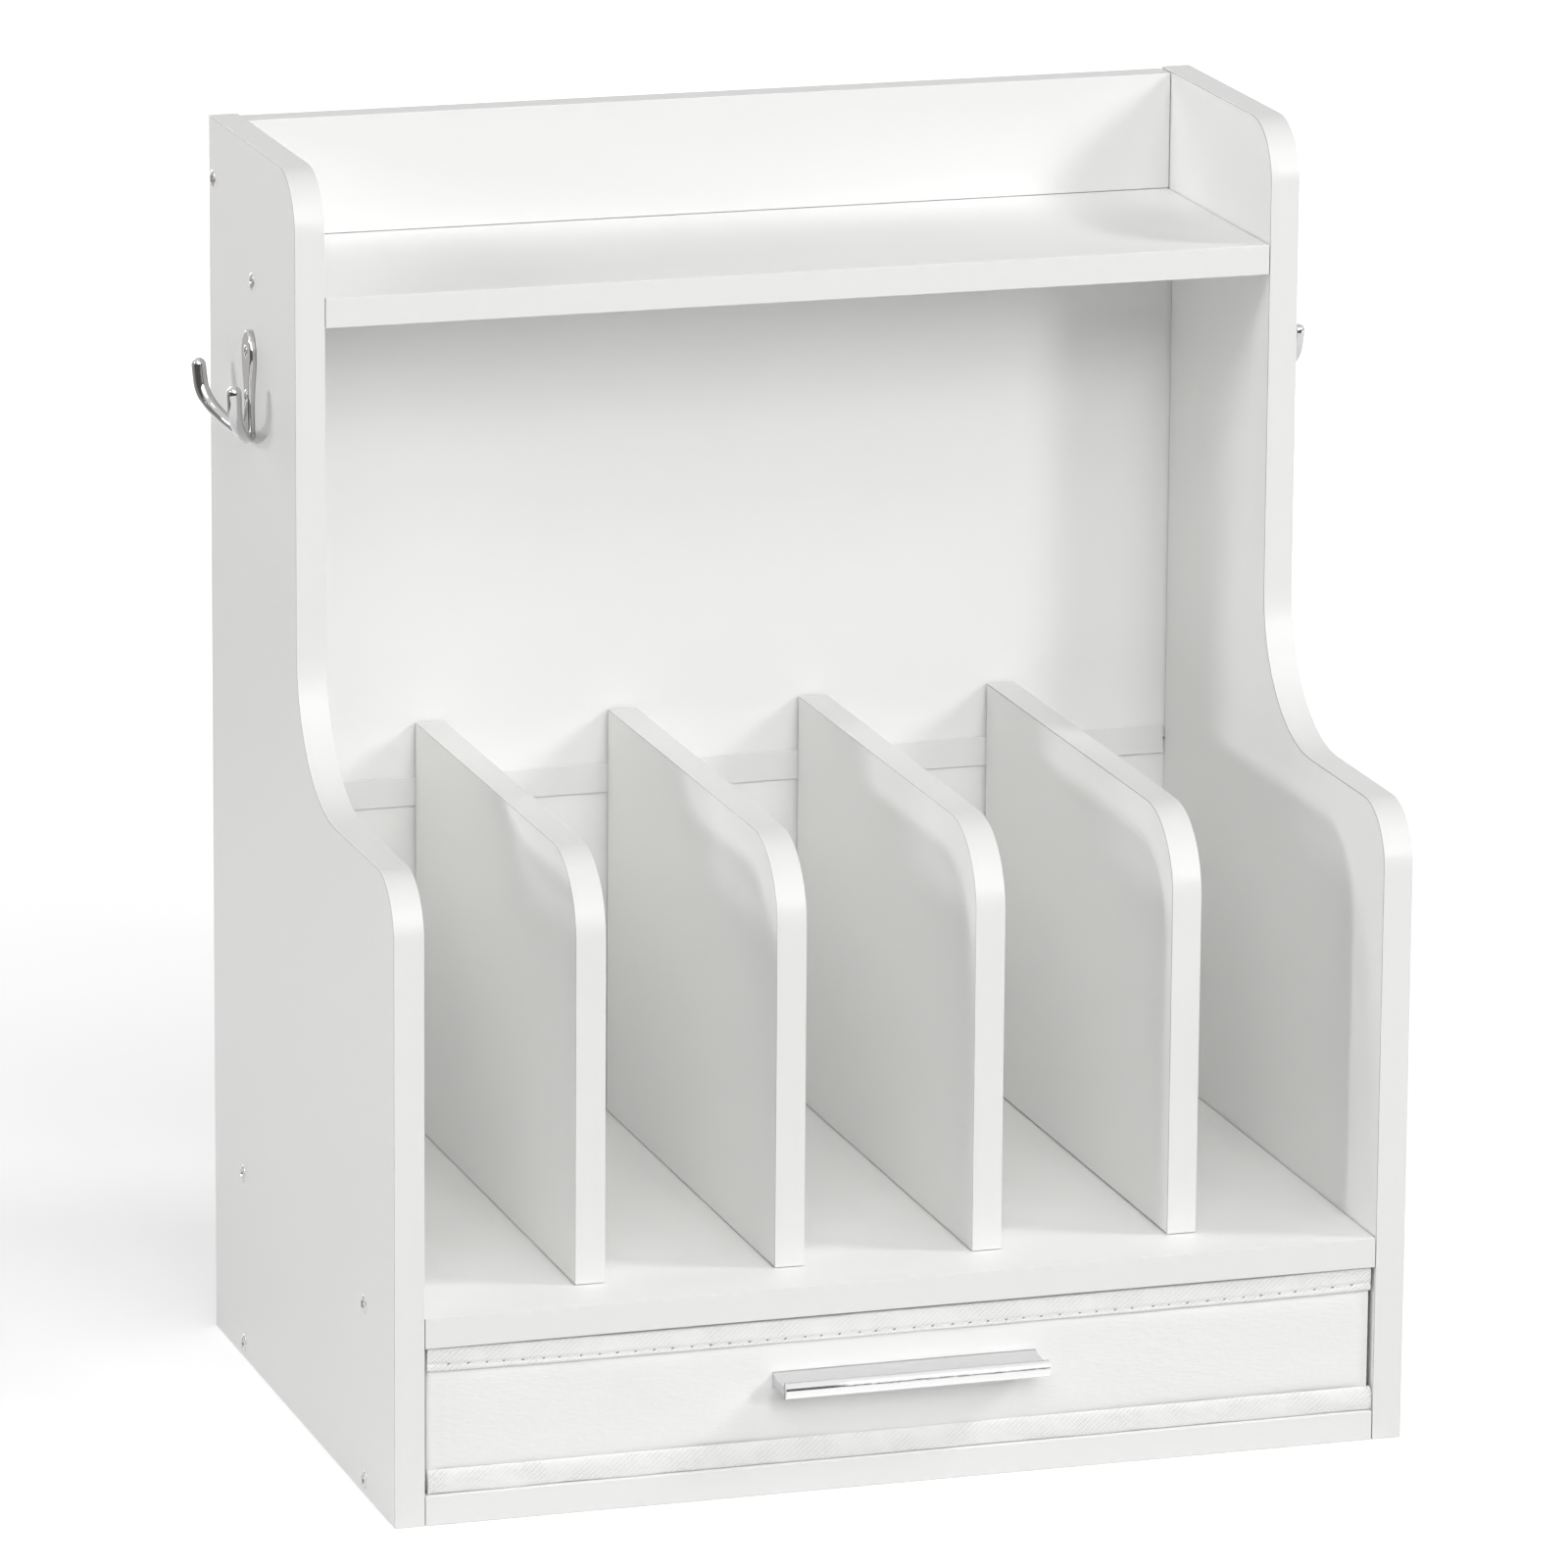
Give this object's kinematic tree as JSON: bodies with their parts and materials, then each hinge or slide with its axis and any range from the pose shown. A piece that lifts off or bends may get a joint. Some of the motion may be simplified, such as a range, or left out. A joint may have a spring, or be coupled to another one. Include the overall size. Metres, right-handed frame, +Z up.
{
  "type": "envelope sorter with drawer",
  "caption": "Desktop sorter of white board with upright dividers, a top tray, coat hooks on its sides and a sliding fabric drawer.",
  "frame": {"origin": "on the floor, in the middle of the boards' footprint", "axes": "+X to the right, +Y towards the back, +Z up; the drawer opens towards -Y"},
  "size_m": [0.5606, 0.3623, 0.627],
  "materials": {
    "laminate": "satin white laminate on board",
    "back_sheet": "white-faced thin board",
    "strip_plastic": "satin white",
    "screw_nickel": "nickel plated",
    "hook_chrome": "polished",
    "handle_metal": "satin web with a polished bead",
    "leathercloth": "fine-grained white imitation leather",
    "nonwoven": "white non-woven cloth",
    "fibreboard": "raw grey-brown board"
  },
  "bodies": {
    "carcass": {"left_side_panel": "laminate", "right_side_panel": "laminate", "bottom_board": "laminate", "middle_shelf": "laminate", "upper_shelf": "laminate", "top_back_rail": "laminate", "divider_1": "laminate", "divider_2": "laminate", "divider_3": "laminate", "divider_4": "laminate", "upper_back_panel": "back_sheet", "lower_back_panel": "back_sheet", "drawer_bay_back_panel": "back_sheet", "back_joint_strip": "strip_plastic", "left_rail_screw": "screw_nickel", "left_upper_shelf_screw": "screw_nickel", "left_middle_back_screw": "screw_nickel", "left_middle_front_screw": "screw_nickel", "left_bottom_back_screw": "screw_nickel", "left_bottom_front_screw": "screw_nickel", "right_rail_screw": "screw_nickel", "right_upper_shelf_screw": "screw_nickel", "right_middle_back_screw": "screw_nickel", "right_middle_front_screw": "screw_nickel", "right_bottom_back_screw": "screw_nickel", "right_bottom_front_screw": "screw_nickel", "divider_1_front_screw": "screw_nickel", "divider_1_back_screw": "screw_nickel", "divider_2_front_screw": "screw_nickel", "divider_2_back_screw": "screw_nickel", "divider_3_front_screw": "screw_nickel", "divider_3_back_screw": "screw_nickel", "divider_4_front_screw": "screw_nickel", "divider_4_back_screw": "screw_nickel", "left_hook": "hook_chrome", "right_hook": "hook_chrome", "left_hook_upper_screw": "hook_chrome", "left_hook_lower_screw": "hook_chrome", "right_hook_upper_screw": "hook_chrome", "right_hook_lower_screw": "hook_chrome"},
    "drawer": {"drawer_front_board": "fibreboard", "drawer_left_board": "fibreboard", "drawer_right_board": "fibreboard", "drawer_back_board": "fibreboard", "drawer_front_cover": "leathercloth", "drawer_fabric_shell": "nonwoven", "drawer_lining": "nonwoven", "drawer_base_board": "nonwoven", "drawer_top_binding": "nonwoven", "drawer_bottom_binding": "nonwoven", "drawer_rim_binding": "nonwoven", "drawer_handle": "handle_metal", "handle_left_screw": "screw_nickel", "handle_right_screw": "screw_nickel"}
  },
  "joints": [
    {"name": "drawer_slide", "type": "slide", "parent": "carcass", "child": "drawer", "axis": [0, -1, 0], "range_m": [0, 0.25]}
  ]
}
